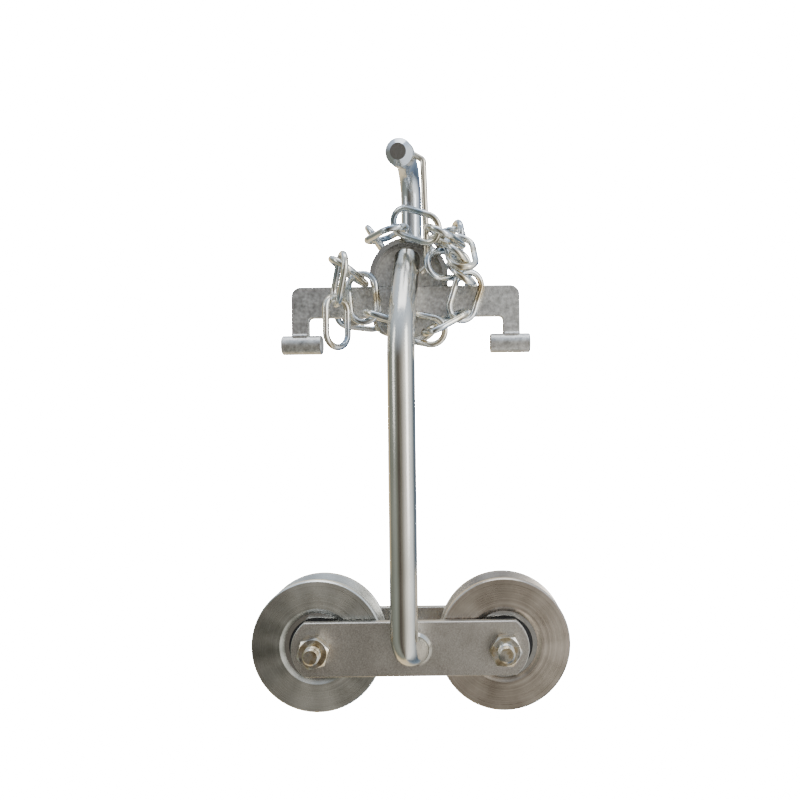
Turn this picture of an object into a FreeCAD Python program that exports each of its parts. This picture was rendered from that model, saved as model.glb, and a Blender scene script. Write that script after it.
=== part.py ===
"""Two-wheel overhead cableway trolley with a bent arm, a T-ended cross bar, a hook and its chain.

Millimetres.  +Z runs from the wheels towards the hook, +X along the cable, and the arm stands in
front of the wheels at -Y.  The origin lies on the cable's centre line, midway between the wheels.
"""
import FreeCAD, Part
import math
import os
from FreeCAD import Vector

# ---- driving dimensions -------------------------------------------------------------------
WHEEL_RADIUS = 40.0
WHEEL_WIDTH = 28.0
WHEEL_BASE = 113.0
GROOVE_FLOOR_RADIUS = 27.0
GROOVE_ROUND = 6.5
CABLE_RADIUS = 5.0
FLANGE_TIP = 4.0

BEARING_OUTER = 20.0
BEARING_BORE = 8.5
BEARING_WIDTH = 12.0
BALL_RADIUS = 3.37
BALL_CIRCLE = 14.25
BALL_COUNT = 8
BALL_PLAY = 0.03

PLATE_LENGTH = 142.0
PLATE_HEIGHT = 32.5
PLATE_THICKNESS = 5.0
PLATE_INNER_FACE = 17.0
BOLT_RADIUS = 5.0
BOLT_TIP = 37.0
NUT_FLATS = 17.0
NUT_HEIGHT = 8.0

ARM_RADIUS = 8.0
ARM_FRONT = 42.0
ARM_KINK_HEIGHT = 187.0
ARM_END_HEIGHT = 235.5
ARM_SHIFT = -2.0
TAIL_SHIFT = 3.0

BAR_THICKNESS = 6.0
BAR_TOP = 219.0
BAR_BOTTOM = 200.0
BAR_HALF_LENGTH = 70.6
BAR_CENTRE = -1.4
LEG_WIDTH = 10.6
FOOT_HEIGHT = 183.4
FOOT_RADIUS = 6.0
FOOT_LENGTH = 25.0
FOOT_INSET = 0.9

HUB_CENTRE = 1.0
COLLAR_HEIGHT = 223.8
COLLAR_RADIUS = 24.0
RIM_HEIGHT = 204.0
RIM_RADIUS = 20.5
BAND_WALL = 3.0
COLLAR_DEPTH = 11.0
RIM_DEPTH = 8.0
HUB_THICKNESS = 4.0

SHANK_RADIUS = 6.5
SHANK_SHIFT = 2.0
SHANK_ROOT_HEIGHT = 208.0
SHANK_TOP_HEIGHT = 300.0
HOOK_TIP = Vector(-0.10, -0.98, -0.18)
BUTTON_RADIUS = 8.15
BUTTON_LENGTH = 14.0
BUTTON_FRONT = 34.0
KEEPER_RADIUS = 2.0

LINK_WIRE = 2.0
LINK_INNER_LENGTH = 26.0
LINK_INNER_WIDTH = 12.5

STUD_RADIUS = 3.0
STUD_SHIFT = -36.0
STUD_HEIGHT = 204.0
STUD_END = 12.0
STUD_HEAD_RADIUS = 7.5
STUD_HEAD = 2.0
EDGE_BREAK = 0.5

# The wound chain, link by link from its free tail to the stud: each link's middle, the way it
# runs and the way its flat side looks.
CHAIN = [
    # the free tail, in front of the cross bar
    ((-40.7, -24.15, 194.4), (0, 0, 1), (0.75, -0.66, 0)),
    ((-38.5, -27, 219), (0.25, -0.45, 0.85), (0.9, 0.4, -0.1)),
    # over the bar and down in front of its left half
    ((-34, -18.5, 225), (0.35, 0.9, -0.25), (0.55, 0.05, 0.85)),
    ((-26.5, -12, 210.5), (0.1, -0.1, -1), (-0.05, -0.95, 0.1)),
    ((-10.5, -15.5, 196.5), (0.95, 0.1, -0.3), (0.25, -0.05, 0.95)),
    # behind the arm and up to the right-hand loop
    ((8, -14.5, 191), (0.95, -0.05, -0.2), (-0.05, -1, 0)),
    ((23.5, -16.5, 194.5), (0.75, 0.35, 0.45), (-0.4, -0.3, 0.9)),
    ((35.5, -10.5, 211), (0.3, 0, 0.95), (0.35, -0.95, -0.1)),
    # the tangle to the right of the hook
    ((33.5, -9, 224.5), (-0.1, 0.9, 0.35), (0.6, -0.25, 0.75)),
    ((25.5, -9.5, 230.5), (-0.85, -0.55, -0.1), (0.5, -0.85, 0.1)),
    ((27, -13, 237.5), (0.45, -0.8, -0.4), (0.65, 0, 0.75)),
    ((33, -15, 237), (-0.1, 0.65, 0.75), (0.2, -0.75, 0.65)),
    ((24, -14.5, 246.5), (-0.45, -0.9, 0.1), (0.4, -0.15, 0.9)),
    # across the front of the shank
    ((6.5, -19.5, 252), (-0.9, 0.25, 0.35), (-0.4, -0.85, -0.35)),
    ((-12.5, -5.5, 250.5), (-0.65, 0.8, -0.1), (-0.25, -0.05, 1)),
    # round behind the shank and down the right
    ((-18, 15.5, 248), (0.4, 0.75, -0.55), (0.8, 0, 0.6)),
    ((-1.5, 25, 243), (0.9, 0.05, 0.45), (-0.05, 1, 0)),
    ((21, 21, 252), (0.85, -0.45, 0.3), (-0.15, 0.35, 0.95)),
    ((30.5, 13.5, 247), (-0.05, 0.05, -1), (0.95, 0.35, 0)),
    ((29, 16, 222), (-0.15, 0.1, -1), (0.05, 1, 0.1)),
    # back along the bar to the stud
    ((15.5, 20.5, 204.5), (-0.85, 0.2, -0.5), (-0.45, 0.1, 0.9)),
    ((-7, 19, 199.5), (-0.95, -0.25, 0.1), (-0.25, 0.95, -0.2)),
    ((-31, 13.5, 202.5), (-0.95, -0.2, 0.1), (-0.1, 0.75, 0.65)),
]

# ---- worked out from them -----------------------------------------------------------------
CABLE_HEIGHT = GROOVE_FLOOR_RADIUS + CABLE_RADIUS
PLATE_OUTER_FACE = PLATE_INNER_FACE + PLATE_THICKNESS
BAR_FACE = BAR_THICKNESS / 2
HUB_BACK = BAR_FACE + HUB_THICKNESS
LEG_CENTRE = BAR_HALF_LENGTH - LEG_WIDTH / 2
SIDES = {"left": -1, "right": 1}

X_AXIS = Vector(1, 0, 0)
Y_AXIS = Vector(0, 1, 0)
Z_AXIS = Vector(0, 0, 1)


def save(name, shape):
    """Write one node, moved so that the cable's centre line is at the origin."""
    shape = shape.copy()
    shape.translate(Vector(0, 0, -CABLE_HEIGHT))
    if not shape.isValid():
        raise ValueError(name + " is not a valid shape")
    shape.exportStep("parts/" + name + ".step")


def group(solids):
    return Part.makeCompound(list(solids))


def tube_y(outer, inner, y0, y1, x=0.0, z=0.0):
    """A ring or tube whose axis runs along Y."""
    base = Vector(x, y0, z)
    return Part.makeCylinder(outer, y1 - y0, base, Y_AXIS).cut(
        Part.makeCylinder(inner, y1 - y0, base, Y_AXIS))


def bent_rod(points, radii, radius):
    """A round rod along straight runs joined by tangent arcs, one radius for each inner point."""
    edges = []
    start = points[0]
    for i, bend in enumerate(radii, start=1):
        here = points[i]
        back = (points[i - 1] - here).normalize()
        ahead = (points[i + 1] - here).normalize()
        half_turn = (math.pi - back.getAngle(ahead)) / 2
        reach = bend * math.tan(half_turn)
        first = here + back * reach
        last = here + ahead * reach
        bisector = (back + ahead).normalize()
        middle = here + bisector * (bend / math.cos(half_turn) - bend)
        edges.append(Part.LineSegment(start, first).toShape())
        edges.append(Part.Arc(first, middle, last).toShape())
        start = last
    edges.append(Part.LineSegment(start, points[-1]).toShape())
    path = Part.Wire(edges)
    section = Part.Wire(Part.makeCircle(radius, points[0], points[1] - points[0]))
    return path.makePipeShell([section], True, True)


def turned(profile, x=0.0):
    """Spin a closed (radius, y) outline a full turn about the wheel's axle."""
    outline = [Vector(r, y, 0) for r, y in profile]
    face = Part.Face(Part.makePolygon(outline + outline[:1]))
    solid = face.revolve(Vector(0, 0, 0), Y_AXIS, 360)
    solid.translate(Vector(x, 0, 0))
    return solid


def broken_edges(plate):
    """A flat plate that lies square to Y, with the edges of its outline chamfered."""
    outline = []
    for edge in plate.Edges:
        flat = edge.BoundBox.YLength < 0.01
        drilled = isinstance(edge.Curve, Part.Circle) and edge.Length > 6.2 * edge.Curve.Radius
        if flat and not drilled:
            outline.append(edge)
    return plate.makeChamfer(EDGE_BREAK, outline)


# ---- wheels and bearings ------------------------------------------------------------------
def wheel(x):
    """Double-flanged wheel, turned from bar, with a round-bottomed cable groove and two seats."""
    half = WHEEL_WIDTH / 2
    rim = 0.8
    outline = [
        (BEARING_OUTER, 0.5), (BEARING_OUTER, half - 1.2), (22.8, half), (WHEEL_RADIUS - rim, half),
        (WHEEL_RADIUS, half - rim), (WHEEL_RADIUS, half - FLANGE_TIP),
        (GROOVE_FLOOR_RADIUS + 5.0, GROOVE_ROUND),
    ]
    mirrored = [(r, -y) for r, y in reversed(outline)]
    floor_steps = 6
    groove = []
    for step in range(1, floor_steps):
        angle = math.radians(180 * step / floor_steps)
        depth = (GROOVE_ROUND - 1.5) * math.sin(angle)
        groove.append((GROOVE_FLOOR_RADIUS + 5.0 - depth, GROOVE_ROUND * math.cos(angle)))
    shoulder = [(BEARING_OUTER - 2.2, -0.5), (BEARING_OUTER - 2.2, 0.5)]
    return turned(outline + groove + mirrored + shoulder, x)


def bearing_seats():
    """The two bearings of a wheel, as the middles of their widths along Y."""
    offset = 0.5 + BEARING_WIDTH / 2
    return (-offset, offset)


def race_groove(x, y):
    groove = Part.makeTorus(BALL_CIRCLE, BALL_RADIUS + BALL_PLAY, Vector(0, 0, 0), Y_AXIS)
    groove.translate(Vector(x, y, 0))
    return groove


def outer_races(x):
    half = BEARING_WIDTH / 2
    return group(tube_y(BEARING_OUTER, 17.2, y - half, y + half, x).cut(race_groove(x, y))
                 for y in bearing_seats())


def inner_races(x):
    half = BEARING_WIDTH / 2
    return group(tube_y(11.3, BEARING_BORE, y - half, y + half, x).cut(race_groove(x, y))
                 for y in bearing_seats())


def balls(x):
    spheres = []
    for y in bearing_seats():
        for i in range(BALL_COUNT):
            angle = 2 * math.pi * i / BALL_COUNT
            centre = Vector(x + BALL_CIRCLE * math.cos(angle), y, BALL_CIRCLE * math.sin(angle))
            spheres.append(Part.makeSphere(BALL_RADIUS, centre))
    return group(spheres)


def seals(x):
    """Rubber-faced shields, two to a bearing, pressed into the outer races."""
    rings = []
    for y in bearing_seats():
        for side in (-1, 1):
            face = y + side * (BEARING_WIDTH / 2 - 0.4)
            inside = face - side * 1.2
            rings.append(tube_y(17.2, 11.36, min(face, inside), max(face, inside), x))
    return group(rings)


# ---- axles --------------------------------------------------------------------------------
def axle_sleeve(x):
    return tube_y(BEARING_BORE, BOLT_RADIUS + 0.1, -PLATE_INNER_FACE, PLATE_INNER_FACE, x)


def axle_spacers(x):
    """Collars that keep the inner races clear of the side plates."""
    race_end = 0.5 + BEARING_WIDTH
    return group([tube_y(10.8, BEARING_BORE, race_end, PLATE_INNER_FACE, x),
                  tube_y(10.8, BEARING_BORE, -PLATE_INNER_FACE, -race_end, x)])


def hexagon(flats, height, y, x, turn):
    corner = flats / math.sqrt(3)
    points = []
    for i in range(7):
        angle = math.radians(60 * i + turn)
        points.append(Vector(x + corner * math.cos(angle), y, corner * math.sin(angle)))
    prism = Part.Face(Part.makePolygon(points)).extrude(Vector(0, height, 0))
    cone_base = corner + 0.05
    bevel = 1.6
    lower = Part.makeCone(cone_base - bevel, cone_base + (height / 2) * 1.7 - bevel, height / 2,
                          Vector(x, y, 0), Y_AXIS)
    upper = Part.makeCone(cone_base + (height / 2) * 1.7 - bevel, cone_base - bevel, height / 2,
                          Vector(x, y + height / 2, 0), Y_AXIS)
    return prism.common(lower.fuse(upper))


def axle_bolt(x, turn):
    """M10 bolt from the back; its thread is cut as rings of the right pitch and depth."""
    head_height = 6.4
    washer = 2.0
    back = PLATE_OUTER_FACE + washer
    pitch = 1.5
    depth = 0.75
    outline = [(0, back), (BOLT_RADIUS, back), (BOLT_RADIUS, -15.0)]
    y = -PLATE_OUTER_FACE + 2.0
    while y > -BOLT_TIP + 2.5:
        outline.append((BOLT_RADIUS, y))
        outline.append((BOLT_RADIUS - depth, y - pitch / 2))
        y -= pitch
    outline.append((BOLT_RADIUS, y))
    outline.append((BOLT_RADIUS, -BOLT_TIP + 1.0))
    outline.append((BOLT_RADIUS - 1.0, -BOLT_TIP))
    outline.append((0, -BOLT_TIP))
    shank = turned(outline, x)
    head = hexagon(NUT_FLATS, head_height, back, x, turn)
    return shank.fuse(head).removeSplitter()


def axle_nut(x, turn):
    nut = hexagon(NUT_FLATS, NUT_HEIGHT, -PLATE_OUTER_FACE - NUT_HEIGHT, x, turn)
    hole = Part.makeCylinder(BOLT_RADIUS, NUT_HEIGHT, Vector(x, -PLATE_OUTER_FACE - NUT_HEIGHT, 0),
                             Y_AXIS)
    return nut.cut(hole)


def axle_washers():
    return group(tube_y(10.0, BOLT_RADIUS + 0.2, PLATE_OUTER_FACE, PLATE_OUTER_FACE + 2.0,
                        side * WHEEL_BASE / 2) for side in SIDES.values())


# ---- side plates --------------------------------------------------------------------------
def side_plate(y0):
    """Flat bar with bowed ends, drilled for the two axle bolts and for the arm."""
    half = PLATE_LENGTH / 2
    top = PLATE_HEIGHT / 2
    straight = half - 8.0
    corners = [Vector(-straight, y0, top), Vector(straight, y0, top),
               Vector(straight, y0, -top), Vector(-straight, y0, -top)]
    outline = Part.Wire([
        Part.LineSegment(corners[0], corners[1]).toShape(),
        Part.Arc(corners[1], Vector(half, y0, 0), corners[2]).toShape(),
        Part.LineSegment(corners[2], corners[3]).toShape(),
        Part.Arc(corners[3], Vector(-half, y0, 0), corners[0]).toShape(),
    ])
    plate = Part.Face(outline).extrude(Vector(0, PLATE_THICKNESS, 0))
    for side in SIDES.values():
        plate = plate.cut(Part.makeCylinder(BOLT_RADIUS + 0.2, PLATE_THICKNESS,
                                            Vector(side * WHEEL_BASE / 2, y0, 0), Y_AXIS))
    plate = plate.cut(Part.makeCylinder(ARM_RADIUS, PLATE_THICKNESS, Vector(TAIL_SHIFT, y0, 0),
                                        Y_AXIS))
    return broken_edges(plate)


# ---- arm ----------------------------------------------------------------------------------
def arm_points():
    end_y = -3.3
    return [Vector(TAIL_SHIFT, PLATE_OUTER_FACE, 0),
            Vector(TAIL_SHIFT, -PLATE_OUTER_FACE - 5.5, 0),
            Vector(ARM_SHIFT, -ARM_FRONT, 4.0),
            Vector(ARM_SHIFT, -ARM_FRONT, ARM_KINK_HEIGHT),
            Vector(0.0, end_y, ARM_END_HEIGHT)]


def arm():
    """Round bar: a tail through both plates, an upright, and a leg back to the cross bar."""
    return bent_rod(arm_points(), [25.0, 13.0, 55.0], ARM_RADIUS)


def tail_weld():
    """A fillet of weld round the tail, where it leaves the front plate."""
    size = 2.0
    bead = Part.makeCone(ARM_RADIUS + size, ARM_RADIUS + 0.4, size,
                         Vector(TAIL_SHIFT, -PLATE_OUTER_FACE, 0), -Y_AXIS)
    return bead.cut(arm())


# ---- cross bar and feet -------------------------------------------------------------------
def cross_bar():
    """Plate cut to a shallow bridge: a level bar with a leg turned down at each end."""
    y = -BAR_FACE
    half = BAR_HALF_LENGTH
    inner = half - LEG_WIDTH
    leg_end = FOOT_HEIGHT
    outer_round = 6.0
    inner_round = 2.5
    diag = math.sqrt(0.5)

    def corner(cx, cz, r, sx, sz):
        return Vector(cx + sx * r * diag, y, cz + sz * r * diag)

    def side(sign):
        """The outline from the bar's middle top, round one leg, to the middle of its underside."""
        v = [Vector(sign * (half - outer_round), y, BAR_TOP),
             Vector(sign * half, y, BAR_TOP - outer_round),
             Vector(sign * half, y, leg_end),
             Vector(sign * inner, y, leg_end),
             Vector(sign * inner, y, BAR_BOTTOM - inner_round),
             Vector(sign * (inner - inner_round), y, BAR_BOTTOM)]
        outer = corner(sign * (half - outer_round), BAR_TOP - outer_round, outer_round, sign, 1)
        inside = corner(sign * (inner - inner_round), BAR_BOTTOM - inner_round, inner_round,
                        sign, 1)
        return [Part.LineSegment(Vector(0, y, BAR_TOP), v[0]).toShape(),
                Part.Arc(v[0], outer, v[1]).toShape(),
                Part.LineSegment(v[1], v[2]).toShape(),
                Part.LineSegment(v[2], v[3]).toShape(),
                Part.LineSegment(v[3], v[4]).toShape(),
                Part.Arc(v[4], inside, v[5]).toShape(),
                Part.LineSegment(v[5], Vector(0, y, BAR_BOTTOM)).toShape()]

    outline = Part.Wire(Part.__sortEdges__(side(1) + side(-1)))
    bar = Part.Face(outline).extrude(Vector(0, BAR_THICKNESS, 0))
    bar.translate(Vector(BAR_CENTRE, 0, 0))
    bar = broken_edges(bar.removeSplitter())
    for name in SIDES:
        bar = bar.cut(foot(name))
    return bar


def foot(name):
    """Round stub across the end of a leg; a spacer bar's eye hooks over it."""
    centre = BAR_CENTRE + SIDES[name] * (LEG_CENTRE - FOOT_INSET)
    stub = Part.makeCylinder(FOOT_RADIUS, FOOT_LENGTH,
                             Vector(centre - FOOT_LENGTH / 2, 0, FOOT_HEIGHT), X_AXIS)
    rims = [edge for edge in stub.Edges if isinstance(edge.Curve, Part.Circle)]
    return stub.makeChamfer(0.7, rims)


def foot_welds():
    """A bead along the front and the back of each leg's joint with its foot."""
    beads = []
    rise = math.sqrt(FOOT_RADIUS ** 2 - BAR_FACE ** 2)
    for name, sign in SIDES.items():
        centre = BAR_CENTRE + sign * LEG_CENTRE
        for face in (-1, 1):
            start = Vector(centre - LEG_WIDTH / 2 + 1.0, face * BAR_FACE, FOOT_HEIGHT + rise)
            bead = Part.makeCylinder(1.6, LEG_WIDTH - 2.0, start, X_AXIS)
            beads.append(bead.cut(cross_bar()).cut(foot(name)))
    return group(beads)


# ---- hub ----------------------------------------------------------------------------------
def hub_plate():
    """Pear-shaped plate behind the cross bar that ties the arm, the bar and the hook together."""
    y = BAR_FACE
    upper = Vector(HUB_CENTRE, y, COLLAR_HEIGHT)
    lower = Vector(HUB_CENTRE, y, RIM_HEIGHT)
    gap = COLLAR_HEIGHT - RIM_HEIGHT
    lean = math.asin((COLLAR_RADIUS - RIM_RADIUS) / gap)
    out = Vector(math.cos(lean), 0, -math.sin(lean))
    mirror = Vector(-out.x, 0, out.z)
    outline = Part.Wire([
        Part.Arc(upper + out * COLLAR_RADIUS, upper + Z_AXIS * COLLAR_RADIUS,
                 upper + mirror * COLLAR_RADIUS).toShape(),
        Part.LineSegment(upper + mirror * COLLAR_RADIUS, lower + mirror * RIM_RADIUS).toShape(),
        Part.Arc(lower + mirror * RIM_RADIUS, lower - Z_AXIS * RIM_RADIUS,
                 lower + out * RIM_RADIUS).toShape(),
        Part.LineSegment(lower + out * RIM_RADIUS, upper + out * COLLAR_RADIUS).toShape(),
    ])
    return Part.Face(outline).extrude(Vector(0, HUB_THICKNESS, 0))


def band(height, radius, depth, keep_above):
    """Part of a ring that stands on the hub plate, on one side of the cross bar."""
    ring = tube_y(radius, radius - BAND_WALL, BAR_FACE - depth, BAR_FACE, HUB_CENTRE, height)
    reach = 2 * radius
    low = BAR_TOP if keep_above else BAR_BOTTOM - reach
    keep = Part.makeBox(2 * reach, 2 * depth, reach,
                        Vector(HUB_CENTRE - reach, BAR_FACE - 1.5 * depth, low))
    return ring.common(keep)


def arm_end_weld():
    """Weld that fills the corner between the arm's end and the hub plate."""
    end = arm_points()[-1]
    lump = Part.makeSphere(7.0, Vector(end.x, BAR_FACE, end.z - 6.0))
    front_only = Part.makeBox(40, 20, 40, Vector(end.x - 20, BAR_FACE - 20, end.z - 26))
    return lump.common(front_only).cut(arm()).cut(cross_bar())


# ---- hook ---------------------------------------------------------------------------------
def hook_direction():
    return Vector(HOOK_TIP).normalize()


def hook_points():
    root = Vector(SHANK_SHIFT, HUB_BACK + SHANK_RADIUS, SHANK_ROOT_HEIGHT)
    top = Vector(root.x, root.y, SHANK_TOP_HEIGHT)
    along = hook_direction()
    reach = (root.y + BUTTON_FRONT - BUTTON_LENGTH) / -along.y
    return [root, top, top + along * reach]


def hook_shank():
    """Round bar welded up the back of the hub plate and bent over forwards."""
    return bent_rod(hook_points(), [22.0], SHANK_RADIUS)


def hook_button():
    """Thickened, chamfered end of the hook that keeps the chain from slipping off."""
    back = hook_points()[-1]
    along = hook_direction()
    chamfer = 3.4
    neck = 1.5
    body = Part.makeCylinder(BUTTON_RADIUS, BUTTON_LENGTH - chamfer - neck, back + along * neck,
                             along)
    taper = Part.makeCone(SHANK_RADIUS + 0.2, BUTTON_RADIUS, neck, back, along)
    nose = Part.makeCone(BUTTON_RADIUS, BUTTON_RADIUS - chamfer, chamfer,
                         back + along * (BUTTON_LENGTH - chamfer), along)
    return taper.fuse(body).fuse(nose).removeSplitter()


def shank_welds():
    """Two beads that run up the back of the hub plate, one on each side of the shank."""
    beads = []
    for sign in SIDES.values():
        start = Vector(SHANK_SHIFT + sign * 4.4, HUB_BACK, SHANK_ROOT_HEIGHT + 2.0)
        bead = Part.makeCylinder(2.6, 34.0, start, Z_AXIS)
        behind = Part.makeBox(60, 20, 80, Vector(-30, HUB_BACK, SHANK_ROOT_HEIGHT - 10))
        beads.append(bead.common(behind).cut(hook_shank()))
    return group(beads)


def keeper_points():
    depth = -12.0
    return [Vector(4.6, depth, 297.2), Vector(10.9, depth, 293.6), Vector(12.6, depth, 229.0),
            Vector(8.6, depth, 225.2)]


def keeper_wire():
    """Wire that closes the hook's side, from the neck of the hook down to the arm's end."""
    wire = bent_rod(keeper_points(), [2.6, 2.6], KEEPER_RADIUS)
    return wire.cut(hook_shank()).cut(arm())


def chain_stud():
    """Headed stud on the back of the cross bar; its head is too wide for the end link to pass."""
    base = Vector(STUD_SHIFT, BAR_FACE, STUD_HEIGHT)
    neck = Part.makeCylinder(STUD_RADIUS, STUD_END - BAR_FACE, base, Y_AXIS)
    head = Part.makeCylinder(STUD_HEAD_RADIUS, STUD_HEAD, Vector(base.x, STUD_END, base.z), Y_AXIS)
    rim = [edge for edge in head.Edges if isinstance(edge.Curve, Part.Circle)]
    return neck.fuse(head.makeChamfer(EDGE_BREAK, rim)).removeSplitter()


# ---- chain --------------------------------------------------------------------------------
def link(middle, along, face):
    """One welded link: its middle, the way it runs and the way its flat side looks."""
    along = Vector(along).normalize()
    side = Vector(face).cross(along).normalize()
    normal = along.cross(side).normalize()
    round_off = LINK_INNER_WIDTH / 2 + LINK_WIRE
    half_straight = (LINK_INNER_LENGTH - LINK_INNER_WIDTH) / 2
    solids = []
    for sign in (1, -1):
        bend = Part.makeTorus(round_off, LINK_WIRE, Vector(0, 0, 0), Z_AXIS, -180, 180, 180)
        bend.rotate(Vector(0, 0, 0), Z_AXIS, -90 * sign)
        bend.translate(Vector(sign * half_straight, 0, 0))
        solids.append(bend)
        solids.append(Part.makeCylinder(LINK_WIRE, 2 * half_straight,
                                        Vector(-half_straight, sign * round_off, 0), X_AXIS))
    ring = solids[0].multiFuse(solids[1:]).removeSplitter()
    ring.Placement = FreeCAD.Placement(
        FreeCAD.Matrix(along.x, side.x, normal.x, middle[0],
                       along.y, side.y, normal.y, middle[1],
                       along.z, side.z, normal.z, middle[2],
                       0, 0, 0, 1))
    return ring




def main():
    os.makedirs("parts", exist_ok=True)
    save("front_side_plate", side_plate(-PLATE_OUTER_FACE))
    save("rear_side_plate", side_plate(PLATE_INNER_FACE))
    turns = {"left": 14.0, "right": -4.0}
    for name, sign in SIDES.items():
        x = sign * WHEEL_BASE / 2
        save(name + "_wheel", wheel(x))
        save(name + "_bearing_outer_races", outer_races(x))
        save(name + "_bearing_inner_races", inner_races(x))
        save(name + "_bearing_balls", balls(x))
        save(name + "_bearing_seals", seals(x))
        save(name + "_axle_sleeve", axle_sleeve(x))
        save(name + "_axle_spacers", axle_spacers(x))
        save(name + "_axle_bolt", axle_bolt(x, turns[name]))
        save(name + "_axle_nut", axle_nut(x, turns[name]))
        save(name + "_spacer_foot", foot(name))
    save("axle_washers", axle_washers())
    save("arm_rod", arm())
    save("arm_tail_weld", tail_weld())
    save("arm_end_weld", arm_end_weld())
    save("cross_bar", cross_bar())
    save("foot_welds", foot_welds())
    save("hub_plate", hub_plate())
    save("hub_collar", band(COLLAR_HEIGHT, COLLAR_RADIUS, COLLAR_DEPTH, True))
    save("hub_lower_rim", band(RIM_HEIGHT, RIM_RADIUS, RIM_DEPTH, False))
    save("hook_shank", hook_shank())
    save("hook_button", hook_button())
    save("shank_welds", shank_welds())
    save("keeper_wire", keeper_wire())
    save("chain_stud", chain_stud())
    for number, (middle, along, face) in enumerate(CHAIN, start=1):
        save("chain_link_%02d" % number, link(middle, along, face))


main()
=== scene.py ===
import math
import bpy
import bmesh
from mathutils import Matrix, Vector


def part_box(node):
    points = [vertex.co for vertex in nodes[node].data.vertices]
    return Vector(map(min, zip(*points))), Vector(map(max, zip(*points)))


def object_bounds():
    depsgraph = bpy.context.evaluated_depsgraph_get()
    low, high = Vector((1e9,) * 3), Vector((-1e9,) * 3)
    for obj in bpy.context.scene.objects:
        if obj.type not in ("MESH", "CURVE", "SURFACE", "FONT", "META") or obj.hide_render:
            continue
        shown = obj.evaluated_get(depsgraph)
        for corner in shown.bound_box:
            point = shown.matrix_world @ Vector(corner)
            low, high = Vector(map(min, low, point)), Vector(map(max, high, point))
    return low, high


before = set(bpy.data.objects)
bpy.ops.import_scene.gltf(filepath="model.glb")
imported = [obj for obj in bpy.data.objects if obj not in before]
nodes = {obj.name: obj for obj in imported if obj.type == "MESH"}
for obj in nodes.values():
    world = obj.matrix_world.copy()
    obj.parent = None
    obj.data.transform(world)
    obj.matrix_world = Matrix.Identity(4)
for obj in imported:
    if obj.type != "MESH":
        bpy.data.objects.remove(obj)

cad_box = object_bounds()


# ---- camera -------------------------------------------------------------------------------
# A short lens at half the trolley's height, level with the arm and a little to its right, so
# that both wheels show face on and the hook is seen slightly from below.
lens_distance = 0.484
lens_side = 0.02835
lens_height = 0.0977
roll = math.radians(0.7)

camera_data = bpy.data.cameras.new("studio_camera")
camera_data.sensor_width = 36.0
camera_data.lens = 35.06
camera_data.shift_x = -0.069
camera_data.shift_y = 0.0375
camera = bpy.data.objects.new("studio_camera", camera_data)
camera.location = (lens_side, -lens_distance, lens_height)
camera.rotation_euler = (math.pi / 2, roll, 0.0)
bpy.context.scene.collection.objects.link(camera)
bpy.context.scene.camera = camera


# ---- shader arithmetic --------------------------------------------------------------------
# Every finish below is a Principled shader whose colour, roughness and normal are worked out
# from the piece's own Object coordinates, so that the marks stay on the metal when it moves.
class Shade:
    """One output of a node; arithmetic on it adds Math nodes to the same tree."""

    def __init__(self, tree, output):
        self.tree = tree
        self.output = output

    def node(self, kind, settings, inputs, output=0):
        """Add one node: its settings first, then the values or links of its sockets."""
        made = self.tree.nodes.new(kind)
        for name, value in settings.items():
            if name == "stops":
                fill_ramp(made.color_ramp, value)
            else:
                setattr(made, name, value)
        for socket, value in inputs.items():
            if isinstance(value, Shade):
                self.tree.links.new(value.output, made.inputs[socket])
            else:
                made.inputs[socket].default_value = value
        return Shade(self.tree, made.outputs[output])

    def maths(self, operation, *values):
        sockets = {i: value for i, value in enumerate((self,) + values)}
        return self.node("ShaderNodeMath", {"operation": operation}, sockets)

    def __add__(self, other):
        return self.maths("ADD", other)

    def __sub__(self, other):
        return self.maths("SUBTRACT", other)

    def __mul__(self, other):
        return self.maths("MULTIPLY", other)

    def __truediv__(self, other):
        return self.maths("DIVIDE", other)

    def clamp(self, low, high):
        return self.node("ShaderNodeClamp", {}, {0: self, 1: low, 2: high})

    def mix(self, low, high):
        """A colour between low and high, with this value as the share of high."""
        return self.node("ShaderNodeMix", {"data_type": "RGBA"}, {0: self, 6: low, 7: high}, 2)

    def noise(self, scale, detail=3.0, stretch=(1, 1, 1)):
        """Cloudy pattern from 0 to 1; this output holds the coordinates."""
        placed = self.node("ShaderNodeMapping", {"vector_type": "POINT"}, {0: self, 3: stretch})
        return self.node("ShaderNodeTexNoise", {}, {"Vector": placed, "Scale": scale, "Detail": detail})

    def separate(self):
        return [self.node("ShaderNodeSeparateXYZ", {}, {0: self}, axis) for axis in range(3)]


def fill_ramp(ramp, stops):
    while len(ramp.elements) < len(stops):
        ramp.elements.new(0.5)
    for element, (place, colour) in zip(ramp.elements, stops):
        element.position = place
        element.color = tuple(colour) + (1.0,)


def colour(red, green, blue):
    return (red, green, blue, 1.0)


def metal(name):
    """A new metal material: its Principled shader and its Object coordinates."""
    material = bpy.data.materials.new(name)
    material.use_nodes = True
    tree = material.node_tree
    shader = tree.nodes["Principled BSDF"]
    shader.inputs["Metallic"].default_value = 1.0
    place = Shade(tree, tree.nodes.new("ShaderNodeTexCoord").outputs["Object"])
    return material, shader, place


def feed(shader, socket, value):
    value.tree.links.new(value.output, shader.inputs[socket])


def dress(material, *names):
    """Put one material on these CAD nodes, in place of what they came with."""
    for name in names:
        mesh = nodes[name].data
        mesh.materials.clear()
        mesh.materials.append(material)


def dent(height, distance):
    """Normal of a surface whose height, in metres, is this value times distance."""
    return height.node("ShaderNodeBump", {}, {"Strength": 1.0, "Distance": distance, "Height": height})


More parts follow.
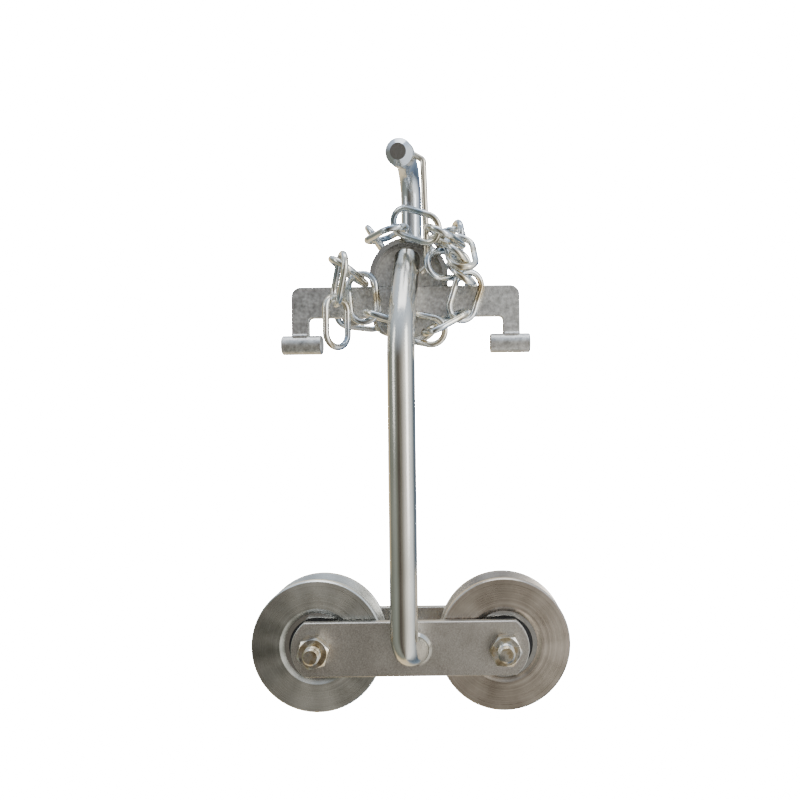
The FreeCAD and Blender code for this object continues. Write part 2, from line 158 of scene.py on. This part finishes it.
# ---- side plates --------------------------------------------------------------------------
# Two sheared flat bars, satin zinc plated: warm grey, finely speckled by the rolled surface
# under the plating.
def satin_plate():
    material, shader, place = metal("satin_zinc_plate")
    speckle = place.noise(2600.0, 4.0)
    cloud = place.noise(55.0, 3.0)
    pits = place.noise(900.0, 2.0)
    tone = (speckle * 1.5 + cloud * 0.6 - 0.55).clamp(0.0, 1.0)
    feed(shader, "Base Color", tone.mix(colour(0.34, 0.315, 0.28), colour(0.80, 0.77, 0.71)))
    feed(shader, "Roughness", (speckle * 0.16 + cloud * 0.12 + 0.24).clamp(0.2, 0.6))
    feed(shader, "Normal", dent(speckle * 0.6 + pits * 0.4, 0.00014))
    return material


dress(satin_plate(), "front_side_plate", "rear_side_plate")


# ---- wheels -------------------------------------------------------------------------------
# Turned from bar: the faces and the grooves carry concentric tool marks, which tilt the normals ring
# by ring. The bright and dark sectors that spread out from the axle are painted into the colour as
# painted highlight and painted shade. Each wheel is turned about its own axle.
def turned_steel(name, centre_x, low, high, painted_fan):
    """Turned steel about an axle at centre_x, from its darkest tone to its lightest.

    painted_fan is how much lighter it is painted above and below the axle, as painted highlight, and darker
    at the sides, as painted shade; where negative, the two swap.
    """
    material, shader, place = metal(name)
    x, y, z = place.separate()
    dx = x - centre_x
    dz = z - axle_height
    radius = (dx * dx + dz * dz).maths("SQRT")
    ring = radius.node("ShaderNodeTexNoise", {"noise_dimensions": "1D"},
                       {"W": radius, "Scale": 5200.0, "Detail": 2.0, "Roughness": 0.7})
    wide_ring = radius.node("ShaderNodeTexNoise", {"noise_dimensions": "1D"},
                            {"W": radius, "Scale": 620.0, "Detail": 2.0})
    smear = place.noise(70.0, 3.0)
    angle = dz.maths("ARCTAN2", dx)
    # Painted fan highlight and shade: sectors around the axle painted lighter and darker in the colour.
    painted_fan_sectors = (angle * 2.0 - 1.4).maths("SINE") * painted_fan + (angle * 13.0 + 0.4).maths("SINE") * (0.35 * painted_fan)
    tone = (wide_ring * 0.35 + smear * 0.5 + ring * 0.25 + painted_fan_sectors - 0.05).clamp(0.0, 1.0)
    feed(shader, "Base Color", tone.mix(low, high))
    feed(shader, "Roughness", (smear * 0.14 + ring * 0.14 + 0.16).clamp(0.12, 0.5))
    tilt = (ring - 0.5) * 0.55 + (wide_ring - 0.5) * 0.10
    outwards = radius.node("ShaderNodeCombineXYZ", {}, {0: dx / radius * tilt, 2: dz / radius * tilt})
    flat = Shade(place.tree, place.tree.nodes.new("ShaderNodeNewGeometry").outputs["Normal"])
    leaned = flat.node("ShaderNodeVectorMath", {"operation": "ADD"}, {0: flat, 1: outwards})
    feed(shader, "Normal", leaned.node("ShaderNodeVectorMath", {"operation": "NORMALIZE"}, {0: leaned}))
    return material


def middle(name):
    low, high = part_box(name)
    return (low + high) / 2


# The left wheel is silver with a greenish cast, the right one warmer and browner.
axle_height = middle("left_wheel").z
# Each entry: darkest tone, lightest tone, and the strength of the painted fan highlight and shade.
wheel_tones = {
    "left": (colour(0.30, 0.31, 0.28), colour(1.00, 1.00, 0.95), 0.30),
    "right": (colour(0.24, 0.20, 0.155), colour(0.92, 0.84, 0.74), -0.14),
}
for side, tones in wheel_tones.items():
    wheel_name = side + "_wheel"
    dress(turned_steel(side + "_turned_steel", middle(wheel_name).x, *tones), wheel_name)


# ---- bearings -----------------------------------------------------------------------------
# Ground races and balls, black rubber seals pressed into the outer races, and the bright
# sleeves and spacers that clamp the inner races between the side plates.
def ground_steel():
    material, shader, place = metal("ground_bearing_steel")
    haze = place.noise(400.0, 3.0)
    feed(shader, "Base Color", haze.mix(colour(0.50, 0.50, 0.49), colour(0.68, 0.68, 0.67)))
    feed(shader, "Roughness", haze * 0.12 + 0.12)
    return material


def seal_rubber():
    material, shader, place = metal("seal_rubber")
    shader.inputs["Metallic"].default_value = 0.0
    dust = place.noise(300.0, 4.0)
    grain = place.noise(2400.0, 2.0)
    feed(shader, "Base Color", dust.mix(colour(0.008, 0.008, 0.009), colour(0.030, 0.029, 0.028)))
    feed(shader, "Roughness", dust * 0.25 + 0.42)
    feed(shader, "Normal", dent(grain, 0.00003))
    return material


bearing_steel = ground_steel()
rubber = seal_rubber()
for side in wheel_tones:
    for race in ("_bearing_outer_races", "_bearing_inner_races", "_bearing_balls"):
        dress(bearing_steel, side + race)
    dress(bearing_steel, side + "_axle_sleeve", side + "_axle_spacers")
    dress(rubber, side + "_bearing_seals")


# ---- axle bolts, nuts and washers ---------------------------------------------------------
# Bright zinc-plated M10 fasteners; the plating leaves a faint straw and brown tint.
def zinc_fastener():
    material, shader, place = metal("zinc_fastener")
    tint = place.noise(160.0, 3.0)
    haze = place.noise(900.0, 4.0)
    tone = tint.node("ShaderNodeValToRGB", {"stops": [
        (0.34, (0.34, 0.33, 0.31)), (0.47, (0.72, 0.69, 0.62)), (0.58, (0.62, 0.52, 0.36)),
        (0.70, (0.36, 0.28, 0.18))]}, {0: tint})
    feed(shader, "Base Color", tone)
    feed(shader, "Roughness", haze * 0.20 + 0.14)
    feed(shader, "Normal", dent(haze, 0.00003))
    return material


fastener = zinc_fastener()
for side in wheel_tones:
    dress(fastener, side + "_axle_bolt", side + "_axle_nut")
dress(fastener, "axle_washers")


# ---- arm, hook, hub bands and keeper ------------------------------------------------------
# Drawn round bar, bent cold and bright zinc plated: fine draw lines run along it, and the
# plating varies between straw and grey; the hook's blue-grey is a painted blue reflection over its zinc.
def bright_bar(name, low, high, draw=(1.0, 1.0, 0.05)):
    material, shader, place = metal(name)
    lines = place.noise(900.0, 3.0, draw)
    cloud = place.noise(34.0, 3.0)
    grain = place.noise(1700.0, 3.0)
    tone = (lines * 0.35 + cloud * 0.75 - 0.05).clamp(0.0, 1.0)
    feed(shader, "Base Color", tone.mix(low, high))
    feed(shader, "Roughness", (cloud * 0.10 + grain * 0.10 + 0.10).clamp(0.08, 0.4))
    feed(shader, "Normal", dent(lines * 0.7 + grain * 0.3, 0.00005))
    return material


dress(bright_bar("bright_zinc_bar", colour(0.50, 0.49, 0.44), colour(0.90, 0.88, 0.82)),
      "arm_rod", "arm_tail_weld", "arm_end_weld")
# The hook's bluish tones are a painted reflection, laid into the colour over the grey of its zinc.
dress(bright_bar("bright_zinc_hook_painted_reflection", colour(0.52, 0.57, 0.63), colour(0.82, 0.84, 0.86)),
      "hook_shank", "hook_button")
dress(bright_bar("bright_zinc_band", colour(0.50, 0.53, 0.56), colour(0.80, 0.80, 0.78), (1, 1, 1)),
      "hub_collar", "hub_lower_rim")
dress(bright_bar("straw_zinc_wire", colour(0.60, 0.53, 0.40), colour(0.84, 0.79, 0.68)), "keeper_wire")


# ---- cross bar, feet and hub plate --------------------------------------------------------
# Sheared plate and round stubs, dipped rather than polished, so that the zinc is mottled.
def mottled_zinc():
    material, shader, place = metal("mottled_zinc_plate")
    flakes = place.noise(420.0, 4.0)
    cloud = place.noise(90.0, 3.0)
    grain = place.noise(2200.0, 3.0)
    tone = (flakes * 1.2 + cloud * 0.6 - 0.4).clamp(0.0, 1.0)
    feed(shader, "Base Color", tone.mix(colour(0.36, 0.36, 0.345), colour(0.98, 0.97, 0.94)))
    feed(shader, "Roughness", (flakes * 0.2 + grain * 0.15 + 0.22).clamp(0.2, 0.65))
    feed(shader, "Normal", dent(flakes * 0.5 + grain * 0.5, 0.00012))
    return material


dress(mottled_zinc(), "cross_bar", "left_spacer_foot", "right_spacer_foot", "hub_plate", "foot_welds",
      "shank_welds", "chain_stud")


# ---- chain --------------------------------------------------------------------------------
# Welded links of bright zinc-plated wire, with straw, brown and blue tints in the plating.
def chain_zinc():
    material, shader, place = metal("bright_zinc_chain")
    tint = place.noise(75.0, 3.0)
    haze = place.noise(1300.0, 3.0)
    tone = tint.node("ShaderNodeValToRGB", {"stops": [
        (0.34, (0.36, 0.43, 0.50)), (0.47, (0.78, 0.80, 0.80)), (0.58, (0.86, 0.82, 0.70)),
        (0.70, (0.42, 0.34, 0.22))]}, {0: tint})
    feed(shader, "Base Color", tone)
    feed(shader, "Roughness", haze * 0.14 + 0.10)
    feed(shader, "Normal", dent(haze, 0.00004))
    return material


links = sorted(name for name in nodes if name.startswith("chain_link"))
dress(chain_zinc(), *links)


# ---- floor --------------------------------------------------------------------------------
# A plain pale floor, lit up to the white of the studio for the camera alone, so that it throws
# no light of its own on the metal, and left out of the metal's reflections.
floor_mesh = bpy.data.meshes.new("floor")
floor_half_width = 6.0
gap_under_wheels = 0.0002
sheet = bmesh.new()
bmesh.ops.create_grid(sheet, x_segments=1, y_segments=1, size=floor_half_width)
bmesh.ops.translate(sheet, verts=sheet.verts, vec=(0, 0, cad_box[0].z - gap_under_wheels))
sheet.to_mesh(floor_mesh)
sheet.free()
floor = bpy.data.objects.new("floor", floor_mesh)
bpy.context.scene.collection.objects.link(floor)
paint = bpy.data.materials.new("pale_floor")
paint.use_nodes = True
paint_shader = paint.node_tree.nodes["Principled BSDF"]
paint_shader.inputs["Base Color"].default_value = colour(0.60, 0.60, 0.60)
paint_shader.inputs["Emission Strength"].default_value = 24.0
looked_at = Shade(paint.node_tree, paint.node_tree.nodes.new("ShaderNodeLightPath").outputs["Is Camera Ray"])
feed(paint_shader, "Emission Color", looked_at.mix(colour(0, 0, 0), colour(1, 1, 1)))
paint_shader.inputs["Roughness"].default_value = 0.8
floor_mesh.materials.append(paint)
floor.visible_glossy = False


# ---- light --------------------------------------------------------------------------------
# Soft studio light: a room of light and dark tinted walls for the metal to reflect, white to the
# camera, with a tall soft box at the right, a weaker one at the left and one overhead.
world = bpy.data.worlds.new("studio")
world.use_nodes = True
bpy.context.scene.world = world
air = world.node_tree
background = air.nodes["Background"]
facing = Shade(air, air.nodes.new("ShaderNodeTexCoord").outputs["Generated"])
east, north, up = facing.separate()
around = east.maths("ARCTAN2", north * -1.0) / (2 * math.pi) + 0.5
walls = around.node("ShaderNodeValToRGB", {"stops": [
    (0.00, (0.60, 0.52, 0.38)), (0.13, (0.72, 0.58, 0.36)), (0.20, (0.13, 0.14, 0.12)),
    (0.34, (0.22, 0.24, 0.22)), (0.44, (0.05, 0.04, 0.03)), (0.52, (0.22, 0.21, 0.19)),
    (0.62, (1.00, 0.98, 0.94)), (0.72, (0.80, 0.84, 0.88)), (0.82, (0.06, 0.08, 0.11)),
    (0.93, (0.16, 0.21, 0.28)), (1.00, (0.60, 0.52, 0.38))]}, {0: around})
ceiling = (up * 1.6 - 0.35).clamp(0.0, 1.0)
room = ceiling.mix(walls, colour(0.50, 0.58, 0.70))
seen = Shade(air, air.nodes.new("ShaderNodeLightPath").outputs["Is Camera Ray"])
shown = seen.mix(room, colour(24.0, 24.0, 24.0))
air.links.new(shown.output, background.inputs["Color"])
background.inputs["Strength"].default_value = 1.7


def soft_box(name, place, aim, width, height, power):
    """A rectangular area lamp at place that faces aim."""
    lamp_data = bpy.data.lights.new(name, "AREA")
    lamp_data.shape = "RECTANGLE"
    lamp_data.size = width
    lamp_data.size_y = height
    lamp_data.energy = power
    lamp = bpy.data.objects.new(name, lamp_data)
    lamp.location = place
    lamp.rotation_euler = (Vector(aim) - Vector(place)).to_track_quat("-Z", "Y").to_euler()
    bpy.context.scene.collection.objects.link(lamp)


soft_box("right_soft_box", (1.1, -0.9, 0.5), (0, 0, 0.1), 0.4, 1.3, 7.0)
soft_box("left_soft_box", (-1.2, -0.7, 0.6), (0, 0, 0.1), 0.3, 1.0, 3.0)
soft_box("top_soft_box", (0.0, -0.2, 1.4), (0, 0, 0.1), 1.0, 0.5, 5.0)
